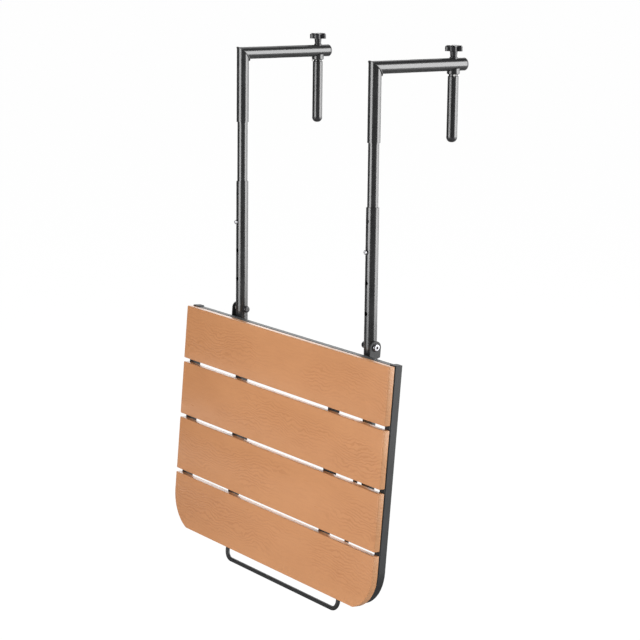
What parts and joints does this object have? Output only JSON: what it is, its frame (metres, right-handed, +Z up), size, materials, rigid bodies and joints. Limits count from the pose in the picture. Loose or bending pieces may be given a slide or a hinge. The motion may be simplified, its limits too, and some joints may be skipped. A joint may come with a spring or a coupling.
{
  "type": "balcony railing bar table",
  "caption": "Folding bar table that hooks over a balcony railing: slatted wooden top on a black steel frame, telescoping posts, wire brace and screw clamps.",
  "frame": {"origin": "on the railing's top edge line: midway between the two hooks, in the plane of the posts' backs, at the arms' undersides", "axes": "+X along the railing (the right end of the tabletop as its user faces it), +Y from the user's side across the railing, +Z up"},
  "size_m": [0.6, 0.2588, 0.9262],
  "materials": {
    "black_tube": "semi-gloss powder coat",
    "black_frame": "satin powder coat",
    "black_plastic": "satin moulded plastic",
    "zinc_steel": "bright zinc plate",
    "button_steel": "polished steel",
    "spring_steel": "dull spring steel",
    "nylon": "natural nylon",
    "slat_wood": "light brown wood with a fine embossed grain, satin"
  },
  "bodies": {
    "hooks": {"left_upright": "black_tube", "left_arm": "black_tube", "left_arm_cap": "black_plastic", "left_inner_tube": "black_tube", "left_snap_spring": "spring_steel", "right_upright": "black_tube", "right_arm": "black_tube", "right_arm_cap": "black_plastic", "right_inner_tube": "black_tube", "right_snap_spring": "spring_steel"},
    "lower_frame": {"left_lower_tube": "black_tube", "left_tube_plug": "black_plastic", "left_hinge_bolt": "zinc_steel", "left_hinge_washer": "nylon", "left_cap_nut": "black_plastic", "right_lower_tube": "black_tube", "right_tube_plug": "black_plastic", "right_hinge_bolt": "zinc_steel", "right_hinge_washer": "nylon", "right_cap_nut": "black_plastic"},
    "tabletop": {"frame_hoop": "black_frame", "top_rail": "black_frame", "left_inner_bar": "black_frame", "left_end_cap": "black_plastic", "left_hinge_ear": "black_frame", "left_brace_seat": "black_frame", "right_inner_bar": "black_frame", "right_end_cap": "black_plastic", "right_hinge_ear": "black_frame", "right_brace_seat": "black_frame", "slat_1": "slat_wood", "slat_2": "slat_wood", "slat_3": "slat_wood", "slat_4": "slat_wood", "slat_screws": "zinc_steel"},
    "brace": {"brace_wire": "black_frame", "left_push_cap": "black_plastic", "right_push_cap": "black_plastic"},
    "left_clamp": {"left_saddle_collar": "black_tube", "left_clamp_tube": "black_tube", "left_clamp_foot": "black_plastic", "left_clamp_nut": "zinc_steel", "left_saddle_washer": "black_plastic"},
    "left_knob": {"left_knob": "black_plastic", "left_clamp_screw": "zinc_steel"},
    "left_button": {"left_snap_button": "button_steel"},
    "right_clamp": {"right_saddle_collar": "black_tube", "right_clamp_tube": "black_tube", "right_clamp_foot": "black_plastic", "right_clamp_nut": "zinc_steel", "right_saddle_washer": "black_plastic"},
    "right_knob": {"right_knob": "black_plastic", "right_clamp_screw": "zinc_steel"},
    "right_button": {"right_snap_button": "button_steel"}
  },
  "joints": [
    {"name": "height_slide", "type": "slide", "parent": "hooks", "child": "lower_frame", "axis": [0, 0, 1], "range_m": [-0.05, 0.1], "deforming": ["left_snap_button", "right_snap_button"]},
    {"name": "table_fold", "type": "hinge", "parent": "lower_frame", "child": "tabletop", "pos_m": [0, -0.01065, -0.436], "axis": [-1, 0, 0], "range_deg": [-4.5, 85.5]},
    {"name": "brace_swing", "type": "hinge", "parent": "lower_frame", "child": "brace", "pos_m": [0, -0.01065, -0.601], "axis": [-1, 0, 0], "range_deg": [-6.3, 119.5]},
    {"name": "left_clamp_slide", "type": "slide", "parent": "hooks", "child": "left_clamp", "axis": [0, -1, 0], "range_m": [0, 0.088]},
    {"name": "left_knob_turn", "type": "hinge", "parent": "left_clamp", "child": "left_knob", "pos_m": [-0.19, 0.147, 0.02], "axis": [0, 0, 1], "continuous": true},
    {"name": "left_button_press", "type": "slide", "parent": "hooks", "child": "left_button", "axis": [0, 1, 0], "range_m": [0, 0.0061], "stiffness_N_per_m": 800, "deforming": ["left_snap_spring"]},
    {"name": "right_clamp_slide", "type": "slide", "parent": "hooks", "child": "right_clamp", "axis": [0, -1, 0], "range_m": [0, 0.088]},
    {"name": "right_knob_turn", "type": "hinge", "parent": "right_clamp", "child": "right_knob", "pos_m": [0.19, 0.147, 0.02], "axis": [0, 0, 1], "continuous": true},
    {"name": "right_button_press", "type": "slide", "parent": "hooks", "child": "right_button", "axis": [0, 1, 0], "range_m": [0, 0.0061], "stiffness_N_per_m": 800, "deforming": ["right_snap_spring"]}
  ],
  "couplings": [
    {"joint": "brace_swing", "follows": "table_fold", "ratio": 1.3973}
  ]
}
